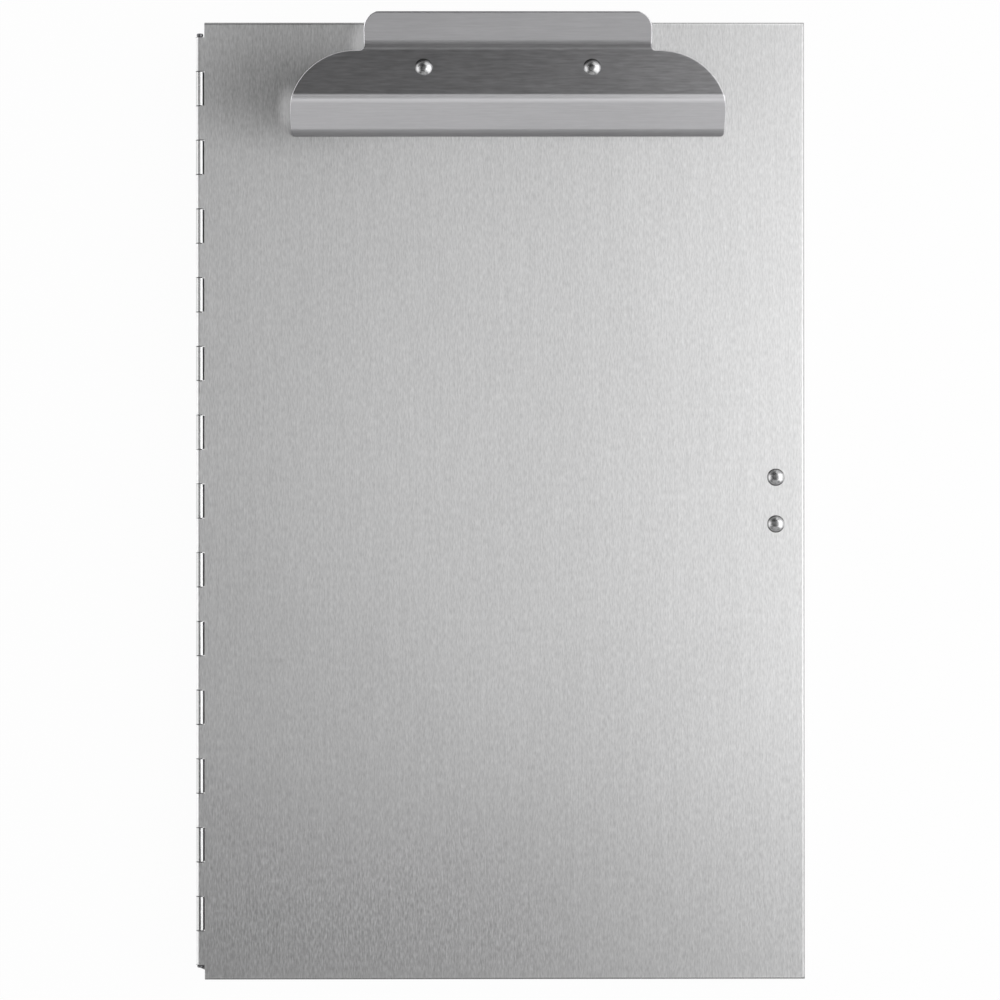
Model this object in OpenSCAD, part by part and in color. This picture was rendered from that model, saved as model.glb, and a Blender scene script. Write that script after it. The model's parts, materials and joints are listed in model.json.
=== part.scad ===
// Storage clipboard: a shallow sheet-metal tray for papers under a hinged writing plate,
// with a long piano hinge on the left and a sprung clip at the head of the plate.
// Millimetres. +Z is up, +Y runs towards the clip, and the hinge lies on the -X side.
// The origin is the centre of the tray's underside.

/* [Sheet metal] */
// Thickness of the tray and lid sheet
sheet_t = 0.8; // [0.6:0.1:1.2]
// Inside radius of the folded edges
fold_r = 0.3; // [0.2:0.1:0.6]
// Width of the seams at the folded corners
seam = 0.2; // [0.1:0.05:0.4]

/* [Tray] */
// Outside width of the tray
tray_w = 237.6; // [200:0.1:280]
// Outside length of the tray
tray_len = 378.4; // [340:0.1:460]
// Height of the tray's rim
tray_h = 22.9; // [20:0.1:45]
// Depth of the hem folded in at the rim
hem_h = 5; // [3:0.1:6]
// How far each hem stops short of the tray's corners
hem_stop = 8; // [4:0.5:30]
// Length of the corner tabs inside the long walls
tab_len = 12; // [9:0.5:30]
// Height of the corner tabs
tab_h = 13; // [9:0.5:14]

/* [Lid] */
// Depth of the folded lips, from the top of the lid
lip_h = 5; // [3:0.1:8]
// Gap between the lips and the tray walls
lip_gap = 0.6; // [0.3:0.05:1.2]
// Gap between the tray's rim and the closed lid
lid_rest = 0.3; // [0.2:0.05:0.6]

/* [Hinge] */
// Diameter of the hinge pin
hinge_pin_d = 1.5; // [1.2:0.1:2.0]
// Radial clearance round the hinge pin
hinge_clear = 0.05; // [0.02:0.01:0.09]
// Number of knuckles, odd so that the lid has both ends
knuckles = 27; // [15:2:35]
// Length of the row of knuckles
barrel_len = 369.5; // [300:0.5:372]
// Gap between neighbouring knuckles
knuckle_gap = 0.3; // [0.2:0.05:0.6]
// Gap between a knuckle and the sheet that it passes
slot_gap = 0.25; // [0.2:0.05:0.5]
// Diameter of the pin's peened ends
peen_d = 2.6; // [2.1:0.1:3.0]
// How far the pin stands out past the knuckles at the head end
pin_out_head = 1.5; // [0.8:0.1:2.2]
// How far the pin stands out past the knuckles at the foot end
pin_out_foot = 1.1; // [0.8:0.1:2.2]

/* [Clip plate] */
// Thickness of the clip plate
clip_t = 1.2; // [1.0:0.1:1.6]
// Width of the jaw
clip_w = 172.2; // [150:0.1:180]
// Width of the thumb tab
thumb_w = 113.5; // [90:0.1:116]
// Offset of the clip from the tray's centre line
clip_x = 2; // [-8:0.1:10]
// Distance from the tray's head end to the clip's pivot
clip_in = 18.8; // [18.2:0.1:39]
// Reach of the jaw's tip in front of the pivot
jaw_reach = 24.9; // [23:0.1:28]
// Run of the steep lip at the jaw's tip
jaw_lip_run = 2.1; // [1.5:0.1:3]
// Slope of the jaw's lip, in degrees
jaw_lip_slope = 66; // [55:1:75]
// Run of the sloping front flange
flange_run = 10.8; // [9:0.1:12]
// Slope of the front flange, in degrees
flange_slope = 46; // [40:1:50]
// Downward slope of the middle panel, in degrees
panel_slope = 11; // [6:1:14]
// Place of the fold between middle panel and thumb tab, behind the pivot
thumb_fold = 9; // [8:0.1:11]
// Reach of the thumb tab behind the pivot
thumb_reach = 21.3; // [19:0.1:24]
// Upward slope of the thumb tab, in degrees
thumb_slope = 28; // [20:1:35]
// Centre-line radius of the clip's folds
clip_fold_r = 2.4; // [1.5:0.1:2.8]
// Gap between the closed jaw and the lid
jaw_gap = 0.3; // [0.2:0.05:0.6]
// Radius of the clip's shoulders, seen from above
shoulder_r = 26; // [18:0.5:27]
// Where the shoulders end, behind the pivot
shoulder_y = 7; // [5:0.1:8]
// Radius of the thumb tab's corners
thumb_r = 6.6; // [3:0.1:9]
// Radius of the inner corners beside the thumb tab
neck_r = 1.8; // [1:0.1:3]
// Radius of the jaw's lower corners
jaw_corner_r = 1.2; // [0.5:0.1:2]

/* [Clip mechanism] */
// Height of the pivot above the lid
pivot_h = 5.6; // [5.2:0.1:6]
// Diameter of the pivot pin
clip_pin_d = 3.2; // [2.8:0.1:3.4]
// Radial clearance round the pivot pin
clip_pin_clear = 0.05; // [0.02:0.01:0.09]
// Thickness of the two brackets
bracket_t = 1.2; // [1:0.1:1.5]
// Width across the base bracket's ears
base_w = 84.4; // [80:0.2:120]
// Gap between the ears of the two brackets
ear_gap = 0.6; // [0.3:0.1:1.5]
// Radius of the ears round the pivot
ear_r = 3.8; // [3.2:0.1:4]
// Depth of the brackets' webs in front of and behind the pivot
web_reach = 8; // [7:0.1:9]
// Height of the webs' side flanges beside the ears
web_rise = 3.4; // [2.5:0.1:4]
// Wire diameter of the torsion springs
wire_d = 1.5; // [1.2:0.1:1.6]
// Distance between the turns of a spring
spring_pitch = 2.0; // [1.95:0.05:2.4]
// Whole turns in each spring
spring_turns = 5; // [3:1:6]
// Radial clearance between spring and pivot pin
spring_clear = 0.5; // [0.3:0.1:0.6]
// Distance of each spring's middle from the clip's middle
spring_x = 17; // [12:0.5:20]

/* [Rivets] */
// Shank diameter of the clip, latch and base rivets
shank_d = 3.2; // [2.4:0.1:3.4]
// Radial clearance round every rivet shank
rivet_clear = 0.05; // [0.02:0.01:0.1]
// Diameter of the domed heads
dome_d = 6.9; // [5.5:0.1:8]
// Height of the domed heads
dome_h = 1.9; // [1.2:0.1:2.2]
// Diameter of the set tails
tail_d = 5.2; // [4.4:0.1:5.6]
// Height of the set tails
tail_h = 0.9; // [0.6:0.1:1]
// Distance between the two clip rivets
clip_rivet_span = 66.2; // [50:0.1:76]
// Distance between the base rivets along the clip
base_rivet_span = 60; // [52:0.5:70]
// Distance between the base rivets across the clip
base_rivet_gap = 10; // [7:0.1:10]
// Shank diameter of the tray's corner rivets
tray_shank_d = 2.4; // [2:0.1:3]
// Head diameter of the tray's corner rivets
tray_dome_d = 4.8; // [4:0.1:6]
// Head height of the tray's corner rivets
tray_dome_h = 1; // [0.6:0.1:1.4]

/* [Latch] */
// Thickness of the latch strip
latch_t = 0.6; // [0.4:0.05:0.8]
// Width of the latch strip
latch_w = 34; // [30:0.5:60]
// Length of the strip's flat under the lid
latch_flat = 14; // [12:0.5:20]
// Distance between the two latch rivets
latch_rivet_span = 18.6; // [10:0.1:22]
// Distance of the latch rivets from the lid's right edge
latch_rivet_in = 11.5; // [9:0.1:14]
// How far the nib stands out under the tray's hem
latch_nib = 0.9; // [0.5:0.05:0.9]
// Running gap between the latch strip and the tray
latch_gap = 0.35; // [0.25:0.05:0.6]

/* [Hidden] */
$fn = 64;
big = 1000;
// Largest step of a computed arc, in degrees
fold_step = 7.5;
// Set tail of a tray rivet, as a part of its head
tray_tail = 0.8;
// Stop heads of the pivot pin: thickness, overhang and bevel
pin_head_t = 1.2;
pin_head_over = 0.8;
pin_head_bevel = 0.4;

// Hinge
knuckle_in_r = hinge_pin_d / 2 + hinge_clear;
knuckle_r = knuckle_in_r + sheet_t;
pitch = barrel_len / knuckles;
lid_top = tray_h + lid_rest + sheet_t;
lid_under = lid_top - sheet_t;
axis_x = -tray_w / 2 - knuckle_r - slot_gap;
axis_z = lid_top - knuckle_r;
lid_curl_end = 14;
tray_curl_end = 300;
tongue_low = knuckle_r + 1;
// How far a folded layer is drawn into the wall that it grows from or lies on
rooted = sheet_t / 2;
// Width of the plate's edge that carries the barrel, which is at least as long as the barrel
hinge_strip = 4 * knuckle_r;

// Lid
lid_right = tray_w / 2 + lip_gap + sheet_t;
lid_left = axis_x + knuckle_r + slot_gap;
lid_len = tray_len + 2 * (lip_gap + sheet_t);

// Clip, measured from the pivot: y forwards and back, z above the lid
clip_y = tray_len / 2 - clip_in;
jaw_tip = [-jaw_reach, jaw_gap];
lip_top = jaw_tip + jaw_lip_run * [1, tan(jaw_lip_slope)];
brow = lip_top + flange_run * [1, tan(flange_slope)];
fold_at = [thumb_fold, brow[1] - (thumb_fold - brow[0]) * tan(panel_slope)];
thumb_tip = fold_at + (thumb_reach - thumb_fold) * [1, tan(thumb_slope)];
clip_path = [jaw_tip, lip_top, brow, fold_at, thumb_tip];
// The jaw's front edge, trimmed square by a little
tip_trim = 0.15;
jaw_front = jaw_reach + clip_t / 2 * sin(jaw_lip_slope) - tip_trim;
panel_drop = clip_t / 2 / cos(panel_slope);
web_drop = panel_drop + bracket_t / 2 / cos(panel_slope);
base_ear_x = base_w / 2 - bracket_t / 2;
yoke_ear_x = base_w / 2 + ear_gap + bracket_t / 2;
yoke_w = 2 * yoke_ear_x + bracket_t;
yoke_back = web_reach - 1;

// Springs
coil_r = clip_pin_d / 2 + spring_clear + wire_d / 2;
leg_gap = 0.05;
leg_end = yoke_back;

// Latch
latch_x = tray_w / 2 - 2 * sheet_t - latch_gap - latch_t / 2;
hem_low = tray_h - hem_h;
latch_rivet_x = lid_right - latch_rivet_in;
latch_start = latch_x - latch_flat;
latch_fold_r = 0.6;
// The strip's lower part, from the hem's edge: start of the nib's ramp, nib's tip, and the strip's end
ramp_up = 0.1;
nib_down = 1.5;
strip_down = 4;
strip_back = 0.6;

// Height of the clip plate's centre line above the lid, on its middle panel
function panel_z(y) = brow[1] - (y - brow[0]) * tan(panel_slope);

function seg_angle(p, i) = atan2(p[i + 1][1] - p[i][1], p[i + 1][0] - p[i][0]);
function turn_at(p, i) = let (d = seg_angle(p, i) - seg_angle(p, i - 1))
    d > 180 ? d - 360 : d < -180 ? d + 360 : d;
function setback(p, i, r) = r * tan(abs(turn_at(p, i)) / 2);
function polar(r, a) = r * [cos(a), sin(a)];

// Centre of the fold at point i of the line p, and the line at the distance off to its left,
// with each fold drawn as an arc of centre radius r
function fold_centre(p, i, r) = let (a = seg_angle(p, i - 1))
    p[i] - polar(setback(p, i, r), a) + polar(r * sign(turn_at(p, i)), a + 90);
function fold_arc(p, i, r, off) =
    let (turn = turn_at(p, i), side = sign(turn), from = seg_angle(p, i - 1) - 90 * side)
    let (steps = max(2, ceil(abs(turn) / fold_step)))
    [for (k = [0 : steps]) fold_centre(p, i, r) + polar(r - side * off, from + turn * k / steps)];
function beside(p, r, off) = let (last = len(p) - 1) [
    p[0] + polar(off, seg_angle(p, 0) + 90),
    for (i = [1 : last - 1]) each fold_arc(p, i, r, off),
    p[last] + polar(off, seg_angle(p, last - 1) + 90)
];
// The round end of an ear on the pivot, from one angle to another
function ear_end(from, to) = [for (a = [from : 2 * fold_step : to]) [0, pivot_h] + polar(ear_r, a)];
function backwards(p) = [for (i = [len(p) - 1 : -1 : 0]) p[i]];

// Section of a sheet of thickness t that follows the line p, with folds of centre radius r
module bent_sheet(p, t, r) {
    polygon(concat(beside(p, r, t / 2), backwards(beside(p, r, -t / 2))));
}

// Section laid in the X-Z plane and drawn out along Y
module along_y(length) {
    rotate([90, 0, 0]) linear_extrude(height = length, center = true) children();
}

// Section laid in the Y-Z plane and drawn out along X
module along_x(length) {
    rotate([90, 0, 90]) linear_extrude(height = length, center = true) children();
}

// Rectangle from corner a to corner b, with a radius at the corners of side s
// (s = 1 rounds its two upper corners, s = -1 its two lower ones)
module rounded_slab(a, b, r, s, left = true, right = true) {
    edge = s > 0 ? b[1] : a[1];
    difference() {
        translate(a) square(b - a);
        if (right) translate([b[0], edge]) mirror([0, s > 0 ? 0 : 1]) quarter_off(r);
        if (left) translate([a[0], edge]) mirror([0, s > 0 ? 0 : 1]) mirror([1, 0]) quarter_off(r);
    }
}

// What a radius r takes off a corner that points up and right
module quarter_off(r) {
    difference() {
        translate([-r, -r]) square(r + 1);
        translate([-r, -r]) circle(r);
    }
}

// Rivet along Z: the dome stands on z = 0, the shank goes down through grip, then the set tail
module rivet(head_d, head_h, shank, grip, tail_diameter, tail_height) {
    ball_r = (head_d * head_d / 4 + head_h * head_h) / (2 * head_h);
    rotate_extrude() {
        intersection() {
            translate([0, head_h - ball_r]) circle(ball_r);
            square([head_d, head_h + 1]);
        }
        translate([0, -grip]) square([shank / 2, grip]);
        translate([0, -grip - tail_height]) square([tail_diameter / 2, tail_height]);
    }
}

module shank_hole(diameter, depth) {
    translate([0, 0, -depth]) cylinder(d = diameter + 2 * rivet_clear, h = 2 * depth);
}

function is_lid_row(i) = i % 2 == 0;
function row_y(i) = (i - (knuckles - 1) / 2) * pitch;

// Rolled knuckle on the lid: the sheet runs in level and curls over the pin
module lid_curl() {
    difference() {
        circle(knuckle_r);
        circle(knuckle_in_r);
        polygon([[0, 0], polar(3 * knuckle_r, lid_curl_end), [3, 3] * knuckle_r, [0, 3 * knuckle_r]]);
    }
    translate([0, knuckle_in_r]) square([lid_left - axis_x + rooted, sheet_t]);
}

// Rolled knuckle on the tray: the wall leans out, then curls up and over the pin
module tray_curl() {
    wall = lid_left - axis_x;
    difference() {
        circle(knuckle_r);
        circle(knuckle_in_r);
        polygon([[0, 0], polar(3 * knuckle_r, tray_curl_end), [3, -3] * knuckle_r, [3 * knuckle_r, 0]]);
    }
    polygon([
        [knuckle_in_r, 0], [knuckle_r, 0], [knuckle_r, -sheet_t / 2],
        [wall + sheet_t, -tongue_low + sheet_t / 2], [wall + sheet_t, -tongue_low - rooted],
        [wall, -tongue_low - rooted], [wall, -tongue_low], [knuckle_in_r, -sheet_t]
    ]);
}

module tray_shell() {
    in = sheet_t;
    wall_h = tray_h - sheet_t;
    difference() {
        intersection() {
            along_y(tray_len) rounded_slab([-tray_w / 2, 0], [tray_w / 2, wall_h], fold_r + in, -1);
            along_x(tray_w + 2) rounded_slab([-tray_len / 2, 0], [tray_len / 2, wall_h], fold_r + in, -1);
        }
        intersection() {
            along_y(tray_len - 2 * in)
                rounded_slab([-tray_w / 2 + in, in], [tray_w / 2 - in, tray_h], fold_r, -1);
            along_x(tray_w)
                rounded_slab([-tray_len / 2 + in, in], [tray_len / 2 - in, tray_h], fold_r, -1);
        }
    }
}

// Hem: the rim folded in on itself with a round top. The wall's inner face is at 0, the rim at the top.
module hem_section() {
    translate([-sheet_t, -hem_h]) square([2 * sheet_t, hem_h - sheet_t]);
    translate([0, -sheet_t]) intersection() {
        circle(sheet_t);
        translate([-sheet_t, 0]) square([2 * sheet_t, sheet_t]);
    }
}

module tray_hems() {
    translate([tray_w / 2 - sheet_t, 0, tray_h])
        along_y(tray_len - 2 * hem_stop) hem_section();
    for (s = [-1, 1])
        mirror([0, s > 0 ? 0 : 1]) translate([0, tray_len / 2 - sheet_t, tray_h])
            along_x(tray_w - 2 * hem_stop) hem_section();
}

module tray_tabs() {
    for (sx = [-1, 1])
        for (sy = [-1, 1])
            scale([sx, sy, 1])
                translate([tray_w / 2 - 2 * sheet_t, tray_len / 2 - sheet_t - tab_len, 2 * sheet_t])
                    cube([sheet_t + rooted, tab_len + rooted, tab_h]);
}

// Centre of a corner rivet on the outside of the wall
function tray_rivet_at(sx, sy) =
    [sx * tray_w / 2, sy * (tray_len / 2 - sheet_t - tab_len / 2), 2 * sheet_t + tab_h / 2];

module tray_rivet_turn(sx, sy) {
    translate(tray_rivet_at(sx, sy)) rotate([0, sx * 90, 0]) children();
}

module tray_pan() {
    color("silver") difference() {
        union() {
            difference() {
                tray_shell();
                translate([-tray_w / 2 - 1, -barrel_len / 2 - pin_out_foot, axis_z - tongue_low])
                    cube([1 + sheet_t, barrel_len + pin_out_foot + pin_out_head, big]);
            }
            tray_hems();
            tray_tabs();
            for (i = [0 : knuckles - 1])
                if (!is_lid_row(i))
                    translate([axis_x, row_y(i), axis_z]) along_y(pitch - knuckle_gap) tray_curl();
        }
        for (sx = [-1, 1])
            for (sy = [-1, 1]) {
                tray_rivet_turn(sx, sy) shank_hole(tray_shank_d, 3 * sheet_t);
                scale([sx, sy, 1])
                    translate([tray_w / 2 - sheet_t, tray_len / 2 - sheet_t - seam, sheet_t + fold_r])
                        cube([2 * sheet_t, seam, big]);
            }
    }
}

module tray_rivet(sx, sy) {
    color("gainsboro") tray_rivet_turn(sx, sy) rivet(
        tray_dome_d, tray_dome_h, tray_shank_d, 2 * sheet_t, tray_tail * tray_dome_d, tray_tail * tray_dome_h
    );
}

module hinge_pin() {
    r = hinge_pin_d / 2;
    head = -barrel_len / 2 - pin_out_head;
    foot = barrel_len / 2 + pin_out_foot;
    neck = barrel_len / 2 + knuckle_gap;
    bevel = (peen_d - hinge_pin_d) / 4;
    color("dimgray") translate([axis_x, 0, axis_z]) rotate([90, 0, 0]) rotate_extrude()
        polygon([
            [0, head], [peen_d / 2 - bevel, head], [peen_d / 2, head + bevel],
            [peen_d / 2, -neck], [r, -neck], [r, neck], [peen_d / 2, neck],
            [peen_d / 2, foot - bevel], [peen_d / 2 - bevel, foot], [0, foot]
        ]);
}

// Writing plate with its lips, before the hinge and the rivet holes
module lid_shell() {
    in = sheet_t;
    low = lid_top - lip_h;
    difference() {
        intersection() {
            along_y(lid_len)
                rounded_slab([lid_left, low], [lid_right, lid_top], fold_r + in, 1, left = false);
            along_x(big) rounded_slab([-lid_len / 2, low], [lid_len / 2, lid_top], fold_r + in, 1);
        }
        intersection() {
            along_y(lid_len - 2 * in)
                rounded_slab([lid_left - 1, low - 1], [lid_right - in, lid_under], fold_r, 1, left = false);
            along_x(big) rounded_slab([-lid_len / 2 + in, low - 1], [lid_len / 2 - in, lid_under], fold_r, 1);
        }
    }
}

function latch_rivet_at(s) = [latch_rivet_x, s * latch_rivet_span / 2, lid_top];
function base_rivet_at(sx, sy) =
    [clip_x + sx * base_rivet_span / 2, clip_y + sy * base_rivet_gap / 2, lid_top + bracket_t];

module lid_plate() {
    color("lightgray") difference() {
        union() {
            lid_shell();
            translate([lid_left, 0, lid_under]) along_y(barrel_len) square([hinge_strip, sheet_t]);
            for (i = [0 : knuckles - 1])
                if (is_lid_row(i))
                    translate([axis_x, row_y(i), axis_z]) along_y(pitch - knuckle_gap) lid_curl();
        }
        for (s = [-1, 1]) {
            translate(latch_rivet_at(s)) shank_hole(shank_d, 2 * sheet_t);
            for (sx = [-1, 1])
                translate(base_rivet_at(sx, s)) shank_hole(shank_d, bracket_t + 2 * sheet_t);
            scale([1, s, 1])
                translate([lid_right - sheet_t, lid_len / 2 - sheet_t - seam, 0])
                    cube([2 * sheet_t, seam, lid_under - fold_r]);
        }
    }
}

module latch_spring() {
    flat_z = lid_under - latch_t / 2;
    color("slategray") difference() {
        along_y(latch_w) bent_sheet([
            [latch_start, flat_z], [latch_x, flat_z], [latch_x, hem_low + ramp_up],
            [latch_x + latch_nib, hem_low - nib_down], [latch_x - strip_back, hem_low - strip_down]
        ], latch_t, latch_fold_r);
        for (s = [-1, 1])
            translate(latch_rivet_at(s)) shank_hole(shank_d, 4 * sheet_t);
    }
}

module latch_rivet(s) {
    color("gainsboro") translate(latch_rivet_at(s))
        rivet(dome_d, dome_h, shank_d, sheet_t + latch_t, tail_d, tail_h);
}

// Everything on the clip is drawn from the foot of its pivot
module at_clip() {
    translate([clip_x, clip_y, lid_top]) children();
}

// Side outline of the base: its web on the lid, with a round ear up to the pivot
module base_side() {
    polygon(concat(
        [[-ear_r, web_rise], [-web_reach, web_rise], [-web_reach, 0], [web_reach, 0], [web_reach, web_rise],
            [ear_r, web_rise]],
        ear_end(0, 180)
    ));
}

module clip_base() {
    x = base_ear_x;
    tall = pivot_h + ear_r + 1;
    low = bracket_t / 2;
    color("darkgray") difference() {
        at_clip() intersection() {
            along_y(4 * web_reach)
                bent_sheet([[-x, tall], [-x, low], [x, low], [x, tall]], bracket_t, bracket_t);
            along_x(2 * base_w) base_side();
        }
        at_clip() translate([-base_w, 0, pivot_h]) rotate([0, 90, 0])
            cylinder(r = clip_pin_d / 2 + clip_pin_clear, h = 2 * base_w);
        for (sx = [-1, 1])
            for (sy = [-1, 1])
                translate(base_rivet_at(sx, sy)) shank_hole(shank_d, 3 * bracket_t);
    }
}

module base_rivet(sx, sy) {
    color("gainsboro") translate(base_rivet_at(sx, sy))
        rivet(tail_d, tail_h, shank_d, bracket_t + sheet_t, tail_d, tail_h);
}

module clip_pin() {
    r = clip_pin_d / 2;
    half = yoke_w / 2 + ear_gap / 2;
    rim = r + pin_head_over;
    end = half + pin_head_t;
    color("dimgray") at_clip() translate([0, 0, pivot_h]) rotate([0, 90, 0]) rotate_extrude()
        polygon([
            [0, -end], [rim - pin_head_bevel, -end], [rim, -end + pin_head_bevel], [rim, -half],
            [r, -half], [r, half], [rim, half], [rim, end - pin_head_bevel],
            [rim - pin_head_bevel, end], [0, end]
        ]);
}

// Section of the clip from tip to thumb tab
module clip_section() {
    bent_sheet(clip_path, clip_t, clip_fold_r);
}

// Outline of the clip seen from above
module clip_outline() {
    half = clip_w / 2;
    tab = thumb_w / 2;
    arc_y = shoulder_y - shoulder_r;
    rounded_slab([-half, -jaw_front], [half, arc_y], jaw_corner_r, -1);
    translate([-half + shoulder_r, arc_y]) square([clip_w - 2 * shoulder_r, shoulder_r]);
    rounded_slab([-tab, shoulder_y], [tab, thumb_reach], thumb_r, 1);
    for (s = [-1, 1]) scale([s, 1]) {
        translate([half - shoulder_r, arc_y]) intersection() {
            circle(shoulder_r);
            square(shoulder_r);
        }
        translate([tab, shoulder_y]) difference() {
            square(neck_r);
            translate([neck_r, neck_r]) circle(neck_r);
        }
    }
}

// A place on the middle panel's upper face, square to it
module on_panel(x) {
    at_clip() translate([x, 0, panel_z(0)]) rotate([-panel_slope, 0, 0])
        translate([0, 0, clip_t / 2]) children();
}

module clip_plate() {
    color("gray") difference() {
        at_clip() intersection() {
            along_x(clip_w + 2) clip_section();
            linear_extrude(height = 40) clip_outline();
        }
        for (s = [-1, 1]) on_panel(s * clip_rivet_span / 2) shank_hole(shank_d, 3 * clip_t);
    }
}

// Side outline of the yoke: its web under the panel, with a round ear down to the pivot
module yoke_side() {
    top = panel_z(0) - panel_drop;
    function under(y, d) = [y, top - y * tan(panel_slope) - d];
    polygon(concat(
        [under(ear_r, web_rise), under(yoke_back, web_rise), under(yoke_back, 0), under(-web_reach, 0),
            under(-web_reach, web_rise), under(-ear_r, web_rise)],
        ear_end(180, 360)
    ));
}

module clip_yoke() {
    x = yoke_ear_x;
    web_z = panel_z(0) - web_drop;
    color("darkgray") difference() {
        at_clip() intersection() {
            translate([0, 0, web_z]) rotate([-panel_slope, 0, 0]) along_y(4 * web_reach)
                bent_sheet([[-x, -web_z], [-x, 0], [x, 0], [x, -web_z]], bracket_t, bracket_t);
            along_x(2 * yoke_w) yoke_side();
        }
        at_clip() translate([-yoke_w, 0, pivot_h]) rotate([0, 90, 0])
            cylinder(r = clip_pin_d / 2 + clip_pin_clear, h = 2 * yoke_w);
        for (s = [-1, 1]) on_panel(s * clip_rivet_span / 2) shank_hole(shank_d, 4 * clip_t);
    }
}

module clip_rivet(s) {
    color("gainsboro") on_panel(s * clip_rivet_span / 2)
        rivet(dome_d, dome_h, shank_d, clip_t + bracket_t, tail_d, tail_h);
}

// Torsion spring: both legs point to the thumb tab, one on the base and one under the yoke
foot = [leg_end, bracket_t + wire_d / 2 + leg_gap];
push = [leg_end, panel_z(leg_end) - panel_drop - bracket_t / cos(panel_slope) - wire_d / 2 - leg_gap];

// Direction from the coil to point p along the tangent that touches below (s = -1) or above (s = 1)
function leg_angle(p, s) = let (d = p - [0, pivot_h])
    atan2(d[1], d[0]) - s * asin(coil_r / norm(d));

foot_angle = leg_angle(foot, -1);
push_angle = leg_angle(push, 1);
wind_from = foot_angle - 90;
wind_to = push_angle + 90 - 360 * (spring_turns + 1);
wind_steps = ceil((wind_from - wind_to) / 45);

function coil_point(t) = let (a = wind_from + t * (wind_to - wind_from))
    [t * (wind_from - wind_to) / 360 * spring_pitch, coil_r * cos(a), pivot_h + coil_r * sin(a)];

coil_run = (wind_from - wind_to) / 360 * spring_pitch;
spring_line = concat(
    [[0, foot[0], foot[1]]],
    [for (i = [0 : wind_steps]) coil_point(i / wind_steps)],
    [[coil_run, push[0], push[1]]]
);

// Least gap between points of the wire that are more than half a turn apart
function coil_gap(line) = min([
    for (i = [0 : len(line) - 1])
        for (j = [i + 5 : 1 : len(line) - 1])
            norm(line[i] - line[j])
]) - wire_d;

echo(str("least gap between the spring's turns: ", coil_gap(spring_line), " mm"));

// Tube of the given number of sides along a line of points
module wire(line, d, sides) {
    n = len(line);
    function ahead(i) = line[min(i + 1, n - 1)] - line[max(i - 1, 0)];
    rings = [
        for (i = [0 : n - 1])
            let (t = ahead(i) / norm(ahead(i)))
            let (u = [1, 0, 0] - t[0] * t)
            let (a = u / norm(u))
            let (b = cross(t, a))
            for (k = [0 : sides - 1])
                line[i] + d / 2 * (a * cos(360 * k / sides) + b * sin(360 * k / sides))
    ];
    polyhedron(points = rings, faces = concat(
        [for (k = [1 : sides - 2]) [0, k, k + 1]],
        [for (k = [1 : sides - 2]) [(n - 1) * sides, (n - 1) * sides + k + 1, (n - 1) * sides + k]],
        [
            for (i = [0 : n - 2])
                for (k = [0 : sides - 1])
                    for (half = [0, 1])
                        let (m = (k + 1) % sides)
                        half == 0
                            ? [i * sides + k, (i + 1) * sides + k, (i + 1) * sides + m]
                            : [i * sides + k, (i + 1) * sides + m, i * sides + m]
        ]
    ));
}

module clip_spring(s) {
    color("dimgray") at_clip() translate([s * spring_x - coil_run / 2, 0, 0]) wire(spring_line, wire_d, 6);
}

tray_pan();
tray_rivet(-1, -1);  // tray_rivet_1
tray_rivet(1, -1);  // tray_rivet_2
tray_rivet(-1, 1);  // tray_rivet_3
tray_rivet(1, 1);  // tray_rivet_4
hinge_pin();
lid_plate();
latch_spring();
latch_rivet(1);  // latch_rivet_upper
latch_rivet(-1);  // latch_rivet_lower
clip_base();
base_rivet(-1, -1);  // base_rivet_1
base_rivet(1, -1);  // base_rivet_2
base_rivet(-1, 1);  // base_rivet_3
base_rivet(1, 1);  // base_rivet_4
clip_pin();
clip_spring(-1);  // clip_spring_left
clip_spring(1);  // clip_spring_right
clip_plate();
clip_yoke();
clip_rivet(-1);  // clip_rivet_left
clip_rivet(1);  // clip_rivet_right
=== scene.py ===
"""Looks of the storage clipboard: finishes, fine details, floor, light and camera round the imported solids.

Metres, in the part's own frame: +Z up, +Y along the plate to the clip, the hinge on the -X side.
"""

import json
import math

import bpy
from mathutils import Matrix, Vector


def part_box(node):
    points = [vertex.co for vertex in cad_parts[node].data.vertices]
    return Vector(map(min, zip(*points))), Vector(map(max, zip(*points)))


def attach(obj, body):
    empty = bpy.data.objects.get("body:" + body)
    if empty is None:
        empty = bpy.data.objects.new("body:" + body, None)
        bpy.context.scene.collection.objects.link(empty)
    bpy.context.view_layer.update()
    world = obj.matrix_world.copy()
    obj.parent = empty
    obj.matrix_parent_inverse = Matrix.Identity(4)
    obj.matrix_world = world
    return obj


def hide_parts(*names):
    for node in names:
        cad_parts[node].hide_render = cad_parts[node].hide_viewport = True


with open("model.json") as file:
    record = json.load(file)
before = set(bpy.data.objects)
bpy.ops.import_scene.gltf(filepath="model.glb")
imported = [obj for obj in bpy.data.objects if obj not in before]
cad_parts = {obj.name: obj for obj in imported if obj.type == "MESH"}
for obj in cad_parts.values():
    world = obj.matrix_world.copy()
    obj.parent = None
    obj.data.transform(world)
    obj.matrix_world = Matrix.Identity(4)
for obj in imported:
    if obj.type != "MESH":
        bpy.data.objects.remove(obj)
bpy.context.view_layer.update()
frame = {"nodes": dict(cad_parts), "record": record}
nodes = frame["nodes"]

MM = 0.001

# ---------------------------------------------------------------- node helpers


def empty_tree(owner):
    """The node tree of a material or world, cleared."""
    owner.use_nodes = True
    owner.node_tree.nodes.clear()
    return owner.node_tree


def add(tree, kind, **settings):
    node = tree.nodes.new(kind)
    for name, value in settings.items():
        setattr(node, name, value)
    return node


def feed(tree, socket, value):
    """Sets a socket to a number or colour, or links it to another node's output."""
    if isinstance(value, bpy.types.NodeSocket):
        tree.links.new(value, socket)
    else:
        socket.default_value = value


def maths(tree, operation, a, b):
    node = add(tree, "ShaderNodeMath", operation=operation)
    feed(tree, node.inputs[0], a)
    feed(tree, node.inputs[1], b)
    return node.outputs["Value"]


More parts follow.
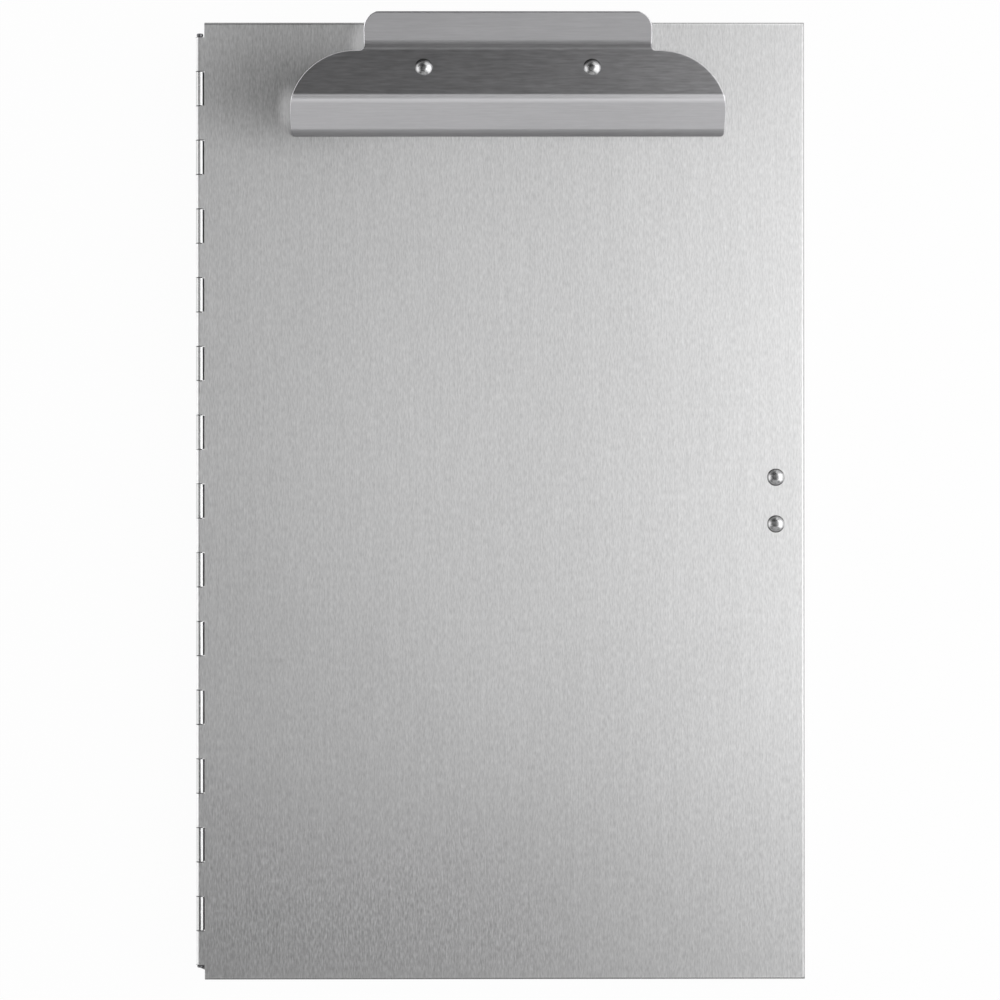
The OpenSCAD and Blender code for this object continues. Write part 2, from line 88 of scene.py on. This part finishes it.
def remap(tree, source, low, high, to_low, to_high, curve="LINEAR"):
    node = add(tree, "ShaderNodeMapRange", clamp=True, interpolation_type=curve)
    feed(tree, node.inputs["Value"], source)
    for name, value in (("From Min", low), ("From Max", high), ("To Min", to_low), ("To Max", to_high)):
        node.inputs[name].default_value = value
    return node.outputs["Result"]


def noise(tree, place, cells, detail=2.0, roughness=0.5, offset=(0.0, 0.0, 0.0), turn=0.0):
    """3-D noise with cells of these sizes along X, Y and Z (metres), turned about Z (radians)."""
    mapping = add(tree, "ShaderNodeMapping", vector_type="POINT")
    mapping.inputs["Scale"].default_value = [1.0 / cell for cell in cells]
    mapping.inputs["Location"].default_value = offset
    mapping.inputs["Rotation"].default_value = (0.0, 0.0, turn)
    feed(tree, mapping.inputs["Vector"], place.outputs["Object"])
    texture = add(tree, "ShaderNodeTexNoise", noise_dimensions="3D")
    texture.inputs["Scale"].default_value = 1.0
    texture.inputs["Detail"].default_value = detail
    texture.inputs["Roughness"].default_value = roughness
    feed(tree, texture.inputs["Vector"], mapping.outputs["Vector"])
    return texture.outputs["Fac"]


def swing(tree, source, amount, middle=0.0):
    """Noise spread to about amount on both sides of its middle."""
    return remap(tree, source, 0.3, 0.7, middle - amount, middle + amount)


def scaled_sum(tree, terms):
    """Sum of output * amount."""
    total = None
    for output, amount in terms:
        part = maths(tree, "MULTIPLY", output, amount)
        total = part if total is None else maths(tree, "ADD", total, part)
    return total


# ---------------------------------------------------------------- masks


def along(tree, place, axis, what="Object"):
    """One coordinate of a point on the object, or of the object's own normal there."""
    split = add(tree, "ShaderNodeSeparateXYZ")
    feed(tree, split.inputs["Vector"], place.outputs[what])
    return split.outputs[axis]


def band(tree, place, low, high, feather):
    """1 between two places along Y (metres), 0 outside, with soft edges."""
    y = along(tree, place, "Y")
    rise = remap(tree, y, low - feather, low + feather, 0.0, 1.0)
    fall = remap(tree, y, high - feather, high + feather, 1.0, 0.0)
    return maths(tree, "MULTIPLY", rise, fall)


def facing(tree, place, axis, start, full, both=False):
    """0 to 1 as the surface turns towards an axis, or towards both of its ends."""
    turned = along(tree, place, axis, "Normal")
    if both:
        turned = maths(tree, "ABSOLUTE", turned, 0.0)
    return remap(tree, turned, start, full, 0.0, 1.0)


def spot(tree, place, centre, reach):
    """1 at a place on the plate's upper face, falling off to 0 at its reach along X and Y (metres)."""
    mapping = add(tree, "ShaderNodeMapping", vector_type="POINT")
    mapping.inputs["Location"].default_value = (-centre[0] / reach[0], -centre[1] / reach[1], 0.0)
    mapping.inputs["Scale"].default_value = (1.0 / reach[0], 1.0 / reach[1], 0.0)
    feed(tree, mapping.inputs["Vector"], place.outputs["Object"])
    far = add(tree, "ShaderNodeVectorMath", operation="LENGTH")
    feed(tree, far.inputs[0], mapping.outputs["Vector"])
    falloff = remap(tree, far.outputs["Value"], 0.1, 1.0, 1.0, 0.0, curve="SMOOTHSTEP")
    return maths(tree, "MULTIPLY", falloff, facing(tree, place, "Z", 0.5, 0.9))


# ---------------------------------------------------------------- painted light, wear and form


def painted_light_and_wear(tree, marks):
    """What marks of painted light and shade, and of wear, each a mask with its two amounts, add to the
    brightness and to the roughness.
    """
    brighter = scaled_sum(tree, [(mask, amount) for mask, amount, _ in marks])
    rougher = scaled_sum(tree, [(mask, amount) for mask, _, amount in marks if amount])
    return brighter, rougher


def clip_painted_light_and_wear(tree, place):
    """Painted highlight on the clip's front fold and left cut edge, painted shade on the jaw's lip and the
    tab's fold.
    """
    slope = band(tree, place, 0.1596, 0.1782, 0.0006)
    smears = noise(tree, place, (7.0 * MM, 1.0 * MM, 1.0 * MM), detail=3.0, offset=(2.2, 4.4, 6.6))
    return painted_light_and_wear(tree, [
        (band(tree, place, 0.1568, 0.1593, 0.0006), 0.42, 0.08),  # painted highlight on the front fold
        (band(tree, place, 0.1420, 0.1467, 0.0009), -0.40, 0.10),  # painted shade on the jaw's lip, where it curls down
        (band(tree, place, 0.1781, 0.1801, 0.0005), -0.54, 0.08),  # painted shade in the fold under the tab
        (facing(tree, place, "X", -0.2, -0.45), 0.70, -0.08),  # left cut edge, burnished, with a painted highlight
        (facing(tree, place, "X", 0.2, 0.45), 0.10, 0.0),  # right cut edge, a little burnished
        (maths(tree, "MULTIPLY", slope, swing(tree, smears, 0.14)), 1.0, 0.0),  # sloping middle
    ])


def lid_painted_light(tree, place):
    """Painted shade on the plate's lips, fold line, lower end and beside the clip, painted light by the
    knuckles, tab and jaw.
    """
    return painted_light_and_wear(tree, [
        (facing(tree, place, "Y", -0.2, -0.6), -0.30, 0.04),  # painted shade on the front lip
        (facing(tree, place, "Y", 0.2, 0.6), -0.45, 0.10),  # painted shade on the back lip
        (facing(tree, place, "X", 0.2, 0.6), -0.40, 0.10),  # painted shade on the side lip
        (facing(tree, place, "X", -0.2, -0.5), 0.30, 0.0),  # painted highlight on the outside of the knuckles
        (band(tree, place, -0.1920, -0.1898, 0.0003), -0.36, 0.0),  # painted shade along the line of the front fold
        (band(tree, place, -0.30, -0.150, 0.045), -0.10, 0.0),  # painted shade, darker towards the lower end
        (spot(tree, place, (-0.090, 0.163), (0.060, 0.030)), -0.30, 0.0),  # painted shade beside the jaw, where the clip hides a lamp's reflection
        (spot(tree, place, (-0.075, 0.2145), (0.068, 0.103)), -0.26, 0.0),  # painted shade in the upper corner
        (spot(tree, place, (-0.0545, 0.1820), (0.0085, 0.0115)), 0.76, 0.0),  # painted light beside the tab, thrown off the clip's edges
        (spot(tree, place, (-0.0845, 0.1560), (0.0070, 0.0120)), 0.78, 0.0),  # painted light beside the jaw, thrown off the clip's edges
    ])


def rivet_painted_shade_and_grime(tree, place):
    """Painted shade with some grime under the edge of a rivet's dome, where its side turns steep, and on its
    crown and flanks.
    """
    return painted_light_and_wear(tree, [
        (facing(tree, place, "Z", 0.74, 0.58), -0.55, 0.15),  # painted shade with some grime on the steep side
        (facing(tree, place, "Z", 0.95, 0.985), -0.64, 0.06),  # painted shade on the crown
        (facing(tree, place, "Y", 0.25, 0.45, both=True), -0.34, 0.0),  # painted shade on the flanks
    ])


# The pressed fold under the clip's tab: its place along Y, the angle that it turns (radians), and half
# the width of its easy curve and of the tight fold that the solid already has
FOLD_Y, FOLD_TURN, EASY_REACH, TIGHT_REACH = 0.1793, 0.726, 0.0021, 0.0006


def soft_fold(tree, place):
    """Height that turns the pressed fold under the tab into a wide, easy curve."""
    off = maths(tree, "SUBTRACT", along(tree, place, "Y"), FOLD_Y)
    away = maths(tree, "ABSOLUTE", off, 0.0)
    parts = []
    for reach, sign in ((EASY_REACH, 1.0), (TIGHT_REACH, -1.0)):
        inside = maths(tree, "MAXIMUM", maths(tree, "SUBTRACT", reach, away), 0.0)
        parts.append((maths(tree, "MULTIPLY", inside, inside), sign * FOLD_TURN / (4.0 * reach)))
    return scaled_sum(tree, parts)


# ---------------------------------------------------------------- finishes

RUN_LENGTH = 20.0 * MM  # length of the brushing's longer marks
HAIR_WIDTH, HAIR_LENGTH, HAIR_TURN = 0.35 * MM, 60.0 * MM, 0.12
PATCH = (1 / 14.0, 1 / 9.0, 1 / 14.0)  # size of the slow cloudy patches
GRAIN_DEPTH = 0.2 * MM


def metal(name, colour, roughness, grain, streak=0.05, lines=0.0, rough_swing=0.04, bump=0.02,
          anisotropic=0.0, cloud=0.02, hair=0.0, painted_light_and_tone=None, form=None):
    """Sheet or wire metal with a directional grain.

    grain holds the grain's cell along X, Y and Z in metres, long along the brushing direction. lines adds
    faint marks that run on for centimetres, hair a few thin scratches, and the function for painted light
    returns what painted light and shade, burnish, grime and smeared tone add to the brightness and roughness.
    form returns a height in metres that eases the surface where a fold is softer than the sheet's own line.
    """
    material = bpy.data.materials.new(name)
    tree = empty_tree(material)
    out = add(tree, "ShaderNodeOutputMaterial")
    shader = add(tree, "ShaderNodeBsdfPrincipled")
    shader.inputs["Metallic"].default_value = 1.0
    shader.inputs["Anisotropic"].default_value = anisotropic
    feed(tree, out.inputs["Surface"], shader.outputs["BSDF"])
    place = add(tree, "ShaderNodeTexCoord")

    thin, long = min(grain), max(grain)
    run = [RUN_LENGTH if cell == long > thin else cell for cell in grain]
    short = noise(tree, place, grain, detail=3.0, roughness=0.6)
    running = noise(tree, place, run, offset=(3.1, 7.7, 1.3))
    patches = noise(tree, place, PATCH, detail=3.0, roughness=0.55, offset=(5.0, 2.0, 9.0))
    value = 1.0
    for source, amount in ((short, streak), (patches, cloud), (running, lines)):
        if amount:
            value = maths(tree, "ADD", swing(tree, source, amount), value)
    if hair:
        cells = [HAIR_WIDTH if cell == thin else HAIR_LENGTH for cell in grain]
        marks = noise(tree, place, cells, detail=0.0, turn=HAIR_TURN)
        value = maths(tree, "ADD", value, remap(tree, marks, 0.74, 0.80, 0.0, hair))
    rough = swing(tree, short, rough_swing, roughness)
    if painted_light_and_tone:
        brighter, rougher = painted_light_and_tone(tree, place)
        value = maths(tree, "ADD", value, brighter)
        rough = maths(tree, "ADD", rough, rougher)
    feed(tree, shader.inputs["Roughness"], rough)
    tint = add(tree, "ShaderNodeVectorMath", operation="SCALE")
    tint.inputs[0].default_value = colour
    feed(tree, tint.inputs["Scale"], value)
    feed(tree, shader.inputs["Base Color"], tint.outputs["Vector"])

    height = maths(tree, "ADD", short, running)
    strength, depth = bump, GRAIN_DEPTH
    if form:
        height = maths(tree, "MULTIPLY", height, GRAIN_DEPTH * bump)
        height = maths(tree, "ADD", height, form(tree, place))
        strength, depth = 1.0, 1.0
    relief = add(tree, "ShaderNodeBump")
    relief.inputs["Strength"].default_value = strength
    relief.inputs["Distance"].default_value = depth
    feed(tree, relief.inputs["Height"], height)
    feed(tree, shader.inputs["Normal"], relief.outputs["Normal"])

    if anisotropic:
        turn = add(tree, "ShaderNodeVectorTransform", vector_type="VECTOR", convert_from="OBJECT",
                   convert_to="WORLD")
        turn.inputs["Vector"].default_value = (0.0, 1.0, 0.0) if grain[0] > grain[1] else (1.0, 0.0, 0.0)
        feed(tree, shader.inputs["Tangent"], turn.outputs["Vector"])
    return material


ALONG_Y = (0.52 * MM, 2.5 * MM, 0.52 * MM)
ALONG_X = (7.0 * MM, 0.7 * MM, 0.7 * MM)
NO_GRAIN = (1.5 * MM, 1.5 * MM, 1.5 * MM)

# material slot: finish
FINISHES = {
    "brushed_aluminium": metal(
        "lid_metal", (0.745, 0.745, 0.747), 0.40, ALONG_Y, streak=0.12, lines=0.035, anisotropic=0.35,
        bump=0.05, hair=0.03, painted_light_and_tone=lid_painted_light),
    "aluminium_sheet": metal(
        "tray_metal", (0.70, 0.70, 0.702), 0.24, ALONG_Y, streak=0.06, lines=0.03, anisotropic=0.3,
        bump=0.03, hair=0.02),
    "clip_steel": metal(
        "clip_metal", (0.572, 0.568, 0.582), 0.31, ALONG_X, streak=0.04, lines=0.03, cloud=0.03,
        rough_swing=0.015, anisotropic=0.6, bump=0.006, hair=0.02, painted_light_and_tone=clip_painted_light_and_wear, form=soft_fold),
    "bracket_steel": metal("bracket_metal", (0.50, 0.50, 0.51), 0.35, ALONG_X),
    "spring_steel": metal("spring_metal", (0.36, 0.36, 0.38), 0.30, NO_GRAIN),
    # darker than bare steel: painted shade on the pin's ends, which face away from the light
    "pin_steel": metal("pin_metal", (0.22, 0.22, 0.23), 0.38, NO_GRAIN, streak=0.06),
    "rivet_metal": metal(
        "rivet_finish", (0.60, 0.60, 0.605), 0.25, NO_GRAIN, streak=0.03, painted_light_and_tone=rivet_painted_shade_and_grime),
}
# dark sheared metal: the knuckle burrs' own colour, and painted shade on the hinge foot
SHEARED_EDGE_AND_SHADE = metal("sheared_edge_and_shade", (0.30, 0.30, 0.305), 0.45, NO_GRAIN, streak=0.08)
SLOTS = {part["node"]: part["material_slot"] for part in frame["record"]["subparts"]}

for name, node in nodes.items():
    finish = FINISHES[SLOTS[name]]
    if node.material_slots:
        node.material_slots[0].material = finish
    else:
        node.data.materials.append(finish)

# ---------------------------------------------------------------- edges

# node: (width of the broken edge in mm, rings)
EDGES = {
    "lid_plate": (0.10, 2),
    "tray_pan": (0.10, 2),
    "clip_plate": (0.52, 4),
    "clip_yoke": (0.12, 2),
    "clip_base": (0.12, 2),
    "latch_spring": (0.06, 1),
    "hinge_pin": (0.15, 2),
    "clip_pin": (0.15, 2),
}
WELD_GAP = 0.025 * MM  # corners closer than this become one
FLAT_ANGLE, BREAK_ANGLE = 0.4, 38.0  # faces flatter than the first merge, edges over the second break


def soften(node, width, rings):
    """Breaks a node's sharp edges with modifiers, its own mesh untouched."""
    weld = node.modifiers.new("weld", "WELD")
    weld.merge_threshold = WELD_GAP
    flat = node.modifiers.new("flat", "DECIMATE")
    flat.decimate_type = "DISSOLVE"
    flat.angle_limit = math.radians(FLAT_ANGLE)
    bevel = node.modifiers.new("bevel", "BEVEL")
    bevel.width = width * MM
    bevel.segments = rings
    bevel.limit_method = "ANGLE"
    bevel.angle_limit = math.radians(BREAK_ANGLE)
    bevel.use_clamp_overlap = False
    bevel.loop_slide = False
    bevel.miter_outer = "MITER_ARC"
    normals = node.modifiers.new("normals", "WEIGHTED_NORMAL")
    normals.weight = 60
    normals.keep_sharp = True


for name, (width, rings) in EDGES.items():
    soften(nodes[name], width, rings)

# ---------------------------------------------------------------- new pieces


def new_piece(name, verts, faces):
    """An object with a mesh of its own, linked into the scene."""
    mesh = bpy.data.meshes.new(name)
    mesh.from_pydata(verts, [], faces)
    mesh.update()
    piece = bpy.data.objects.new(name, mesh)
    bpy.context.scene.collection.objects.link(piece)
    return piece


def dress(piece, material, body):
    """A piece's material and the body that it moves with."""
    piece.data.materials.append(material)
    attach(piece, body)


# ---------------------------------------------------------------- springs

# The coil's own numbers in millimetres, from the pivot's foot on the plate
PIVOT_H, PIN_D, WIRE_D, PITCH, TURNS, CLEAR = 5.6, 3.2, 1.5, 2.0, 5, 0.5
SPRING_X, LEG_END, BRACKET_T, LEG_GAP = 17.0, 7.0, 1.2, 0.05
CLIP_AT = (2.0, 170.4, 24.0)
COIL_R = PIN_D / 2 + CLEAR + WIRE_D / 2
TURN_STEPS = 24

# The tube's end rings: how far each lies from the wire's end, and its size, both in wire radii
END_RINGS = [(0.0, 0.55), (0.23, 0.88), (0.35, 1.0)]


def leg_angle(point, sign):
    """Turn at which a leg leaves the coil to reach a point, in the plane across the pin."""
    away = point - Vector((0.0, PIVOT_H))
    return math.atan2(away.y, away.x) - sign * math.asin(COIL_R / away.length)


def spring_line(side):
    """Centre line of one torsion spring: a leg on the base, the coil, a leg under the yoke."""
    box_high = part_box("clip_spring_left" if side < 0 else "clip_spring_right")[1]
    foot = Vector((LEG_END, BRACKET_T + WIRE_D / 2 + LEG_GAP))
    push = Vector((LEG_END, (box_high.z / MM - CLIP_AT[2]) - WIRE_D / 2))
    wind_from = leg_angle(foot, -1) - math.pi / 2
    wind_to = leg_angle(push, 1) + math.pi / 2 - 2 * math.pi * (TURNS + 1)
    run = (wind_from - wind_to) / (2 * math.pi) * PITCH
    steps = TURN_STEPS * (TURNS + 1)
    points = [(0.0, foot.x, foot.y)]
    for i in range(steps + 1):
        t = i / steps
        turn = wind_from + t * (wind_to - wind_from)
        points.append((t * run, COIL_R * math.cos(turn), PIVOT_H + COIL_R * math.sin(turn)))
    points.append((run, push.x, push.y))
    start = CLIP_AT[0] + side * SPRING_X - run / 2
    return [Vector(((start + x) * MM, (CLIP_AT[1] + y) * MM, (CLIP_AT[2] + z) * MM)) for x, y, z in points]


def tube(name, line, radius, sides=14):
    """Round wire along a line, with slightly rounded ends."""
    verts, faces = [], []
    last = len(line) - 1
    rings = [(0, inset, scale) for inset, scale in END_RINGS]
    rings += [(i, 0.0, 1.0) for i in range(1, last)]
    rings += [(last, -inset, scale) for inset, scale in reversed(END_RINGS)]
    for i, inset, scale in rings:
        ahead = (line[min(i + 1, last)] - line[max(i - 1, 0)]).normalized()
        a = (Vector((1.0, 0.0, 0.0)) - ahead * ahead.x).normalized()
        b = ahead.cross(a)
        centre = line[i] + ahead * radius * inset
        for k in range(sides):
            turn = 2 * math.pi * k / sides
            verts.append(centre + (a * math.cos(turn) + b * math.sin(turn)) * radius * scale)
    for row in range(len(rings) - 1):
        for k in range(sides):
            m = (k + 1) % sides
            faces.append((row * sides + k, row * sides + m, (row + 1) * sides + m, (row + 1) * sides + k))
    faces.append(tuple(reversed(range(sides))))
    faces.append(tuple((len(rings) - 1) * sides + k for k in range(sides)))
    piece = new_piece(name, verts, faces)
    piece.data.polygons.foreach_set("use_smooth", [True] * len(faces))
    return piece


for side, tag in ((-1, "left"), (1, "right")):
    coil = tube("spring_wire_" + tag, spring_line(side), WIRE_D / 2 * MM)
    dress(coil, FINISHES["spring_steel"], "lid")
    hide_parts("clip_spring_" + tag)

# ---------------------------------------------------------------- hinge trim

# Millimetres, the hinge's own numbers
HINGE_X, HINGE_Z, KNUCKLE_R, BARREL, KNUCKLES = -120.65, 22.4, 1.6, 369.5, 27

# A burr's arc over the outside of the barrel (degrees), its foot below the knuckle's face, the depth of
# its ends in it, how far it stands out and its thickness, and how far the two end burrs are drawn in
ARC_FROM, ARC_TURN, ARC_STEPS = 75.0, 150.0, 18
BURR_FOOT, BURR_SUNK, BURR_REACH, BURR_T, BURR_DRAWN_IN = 0.45, 0.06, 0.28, 0.16, 0.12


def burrs(name):
    """Thin crescents where each rolled knuckle was sheared, standing in the joints of the barrel."""
    verts, faces = [], []
    inner = KNUCKLE_R - BURR_FOOT
    for joint in range(KNUCKLES + 1):
        y = (joint - KNUCKLES / 2) * BARREL / KNUCKLES
        if joint == 0:
            y += BURR_DRAWN_IN
        elif joint == KNUCKLES:
            y -= BURR_DRAWN_IN
        uneven = 0.85 + 0.3 * math.sin(joint * 2.4) * math.sin(joint * 5.1)
        base = len(verts)
        for i in range(ARC_STEPS + 1):
            part = i / ARC_STEPS
            turn = math.radians(ARC_FROM + ARC_TURN * part)
            outer = KNUCKLE_R - BURR_SUNK + BURR_REACH * uneven * math.sin(math.pi * part) ** 2
            for radius, half in ((inner, 0.5 * BURR_T), (outer, 0.3 * BURR_T)):
                x = HINGE_X + radius * math.cos(turn)
                z = HINGE_Z + radius * math.sin(turn)
                verts += [(x * MM, (y + side * half) * MM, z * MM) for side in (-1, 1)]
        for i in range(ARC_STEPS):
            a, b = base + 4 * i, base + 4 * (i + 1)
            faces += [(a + 2, b + 2, b + 3, a + 3), (a, a + 1, b + 1, b)]
            faces += [(a, b, b + 2, a + 2), (a + 1, a + 3, b + 3, b + 1)]
        last = base + 4 * ARC_STEPS
        faces += [(base, base + 2, base + 3, base + 1), (last, last + 1, last + 3, last + 2)]
    return new_piece(name, verts, faces)


# The leaf's outline from above, its underside, top and the bevel round its top, in millimetres
LEAF = [(-122.0, -184.72), (-118.25, -184.72), (-118.25, -187.0), (-119.3, -186.55), (-121.7, -185.55)]
LEAF_LOW, LEAF_HIGH, LEAF_BEVEL = 20.9, 22.7, 0.12


def hinge_foot_painted_shade(name):
    """The barrel's lower end: a slanting leaf of the tray's hem, sheared off below the last knuckle, dark as
    painted shade.
    """
    centre = [sum(point[i] for point in LEAF) / len(LEAF) for i in (0, 1)]
    rings = [(LEAF_LOW, 0.0), (LEAF_HIGH - LEAF_BEVEL, 0.0), (LEAF_HIGH, LEAF_BEVEL)]
    verts, faces = [], []
    for z, inward in rings:
        for x, y in LEAF:
            away = Vector((centre[0] - x, centre[1] - y)).normalized() * inward
            verts.append(((x + away.x) * MM, (y + away.y) * MM, z * MM))
    count = len(LEAF)
    for row in range(len(rings) - 1):
        for k in range(count):
            m = (k + 1) % count
            faces.append((row * count + k, (row + 1) * count + k, (row + 1) * count + m, row * count + m))
    faces.append(tuple(range(count)))
    faces.append(tuple(reversed(range((len(rings) - 1) * count, len(rings) * count))))
    return new_piece(name, verts, faces)


dress(burrs("knuckle_burrs"), SHEARED_EDGE_AND_SHADE, "tray")
# a dark leaf of painted shade where the barrel's lower end lies in shadow
dress(hinge_foot_painted_shade("hinge_foot_painted_shade"), SHEARED_EDGE_AND_SHADE, "tray")

# ---------------------------------------------------------------- floor

FLOOR_HALF, FLOOR_Z = 4.0, -0.00005
FLOOR_LEVEL, FLOOR_GLOW = 0.86, 0.965  # the matt floor, and the white glow's share where it is seen
WHITE = (1.0, 1.0, 1.0, 1.0)


def grey(level):
    return level, level, level, 1.0


def floor_material():
    """Matt for the light that falls on it, nearly white where the camera or a reflection sees it."""
    material = bpy.data.materials.new("floor_white")
    tree = empty_tree(material)
    out = add(tree, "ShaderNodeOutputMaterial")
    matt = add(tree, "ShaderNodeBsdfDiffuse")
    matt.inputs["Color"].default_value = grey(FLOOR_LEVEL)
    glow = add(tree, "ShaderNodeEmission")
    glow.inputs["Color"].default_value = WHITE
    glow.inputs["Strength"].default_value = 1.0
    path = add(tree, "ShaderNodeLightPath").outputs
    seen = maths(tree, "MAXIMUM", path["Is Camera Ray"], path["Is Glossy Ray"])
    seen = maths(tree, "MAXIMUM", seen, path["Is Transmission Ray"])
    mix = add(tree, "ShaderNodeMixShader")
    feed(tree, mix.inputs["Fac"], maths(tree, "MULTIPLY", seen, FLOOR_GLOW))
    feed(tree, mix.inputs[1], matt.outputs[0])
    feed(tree, mix.inputs[2], glow.outputs[0])
    feed(tree, out.inputs["Surface"], mix.outputs["Shader"])
    return material


corners = [(x * FLOOR_HALF, y * FLOOR_HALF, FLOOR_Z) for x, y in ((-1, -1), (1, -1), (1, 1), (-1, 1))]
floor = new_piece("floor", corners, [(0, 1, 2, 3)])
floor.data.materials.append(floor_material())

# ---------------------------------------------------------------- light

DOME_Z, AIM = 0.03, Vector((0.0, 0.0, 0.02))

# name, azimuth from +X to +Y, zenith from straight up (degrees), distance, (width, height), power
RIG = [
    ("key_back_low", 20.0, 68.0, 1.20, (0.80, 0.65), 2.61),
    ("key_back_middle", 20.0, 45.0, 1.20, (0.80, 0.33), 1.33),
    ("key_back_high", 20.0, 27.0, 1.20, (0.80, 0.33), 1.25),
    ("key_front_low", -20.0, 68.0, 1.20, (0.80, 0.65), 2.61),
    ("key_front_middle", -20.0, 45.0, 1.20, (0.80, 0.33), 1.33),
    ("key_front_high", -20.0, 27.0, 1.20, (0.80, 0.33), 1.07),
    ("corner_front", -60.0, 62.0, 1.20, (0.80, 0.70), 0.27),
    ("corner_back", 60.0, 62.0, 1.20, (0.80, 0.70), 1.87),
    ("panel_left", 180.0, 67.0, 1.15, (1.00, 0.60), 2.0),
    ("left_middle", 180.0, 42.0, 1.20, (1.40, 0.33), 0.45),
    ("panel_top", 90.0, 6.0, 1.25, (0.75, 0.75), 1.21),
    ("fill_front", 270.0, 50.0, 1.20, (1.20, 0.80), 1.90),
]

# height of a direction, its level: a bright horizon under a dark ceiling, seen in reflections
SKY = [(0.10, 1.0), (0.32, 0.28), (0.72, 0.03)]


def panel(name, azimuth, zenith, distance, size, power):
    """Soft lamp on a dome round the part, aimed at its middle."""
    light = bpy.data.lights.new(name, "AREA")
    light.shape = "RECTANGLE"
    light.size, light.size_y = size
    light.energy = power
    round_z, tilt = math.radians(azimuth), math.radians(zenith)
    place = Vector((
        distance * math.sin(tilt) * math.cos(round_z),
        distance * math.sin(tilt) * math.sin(round_z),
        DOME_Z + distance * math.cos(tilt),
    ))
    piece = bpy.data.objects.new(name, light)
    piece.location = place
    piece.rotation_euler = (AIM - place).to_track_quat("-Z", "Y").to_euler()
    piece.visible_camera = False
    bpy.context.scene.collection.objects.link(piece)


def make_world():
    """The studio round the part, which the camera itself sees as plain white."""
    world = bpy.data.worlds.new("studio")
    bpy.context.scene.world = world
    tree = empty_tree(world)
    out = add(tree, "ShaderNodeOutputWorld")
    split = add(tree, "ShaderNodeSeparateXYZ")
    feed(tree, split.inputs["Vector"], add(tree, "ShaderNodeTexCoord").outputs["Generated"])
    ramp = add(tree, "ShaderNodeValToRGB")
    stops = ramp.color_ramp.elements
    for i, (height, level) in enumerate(SKY):
        stop = stops[i] if i < len(stops) else stops.new(height)
        stop.position = height
        stop.color = grey(level)
    feed(tree, ramp.inputs["Fac"], split.outputs["Z"])
    studio = add(tree, "ShaderNodeBackground")
    feed(tree, studio.inputs["Color"], ramp.outputs["Color"])
    studio.inputs["Strength"].default_value = 1.0
    white = add(tree, "ShaderNodeBackground")
    white.inputs["Color"].default_value = WHITE
    mix = add(tree, "ShaderNodeMixShader")
    feed(tree, mix.inputs["Fac"], add(tree, "ShaderNodeLightPath").outputs["Is Camera Ray"])
    feed(tree, mix.inputs[1], studio.outputs[0])
    feed(tree, mix.inputs[2], white.outputs[0])
    feed(tree, out.inputs["Surface"], mix.outputs["Shader"])


for spec in RIG:
    panel(*spec)
make_world()

# ---------------------------------------------------------------- camera

camera_data = bpy.data.cameras.new("camera")
camera_data.sensor_width = 36.0
camera_data.lens = 99.45
camera_data.clip_start, camera_data.clip_end = 0.05, 20.0
camera = bpy.data.objects.new("camera", camera_data)
camera.location = (-0.0067, -0.0012, 1.124)
camera.rotation_euler = [math.radians(angle) for angle in (0.079, -0.287, -0.041)]
bpy.context.scene.collection.objects.link(camera)
bpy.context.scene.camera = camera
bpy.context.scene.view_settings.view_transform = "Standard"
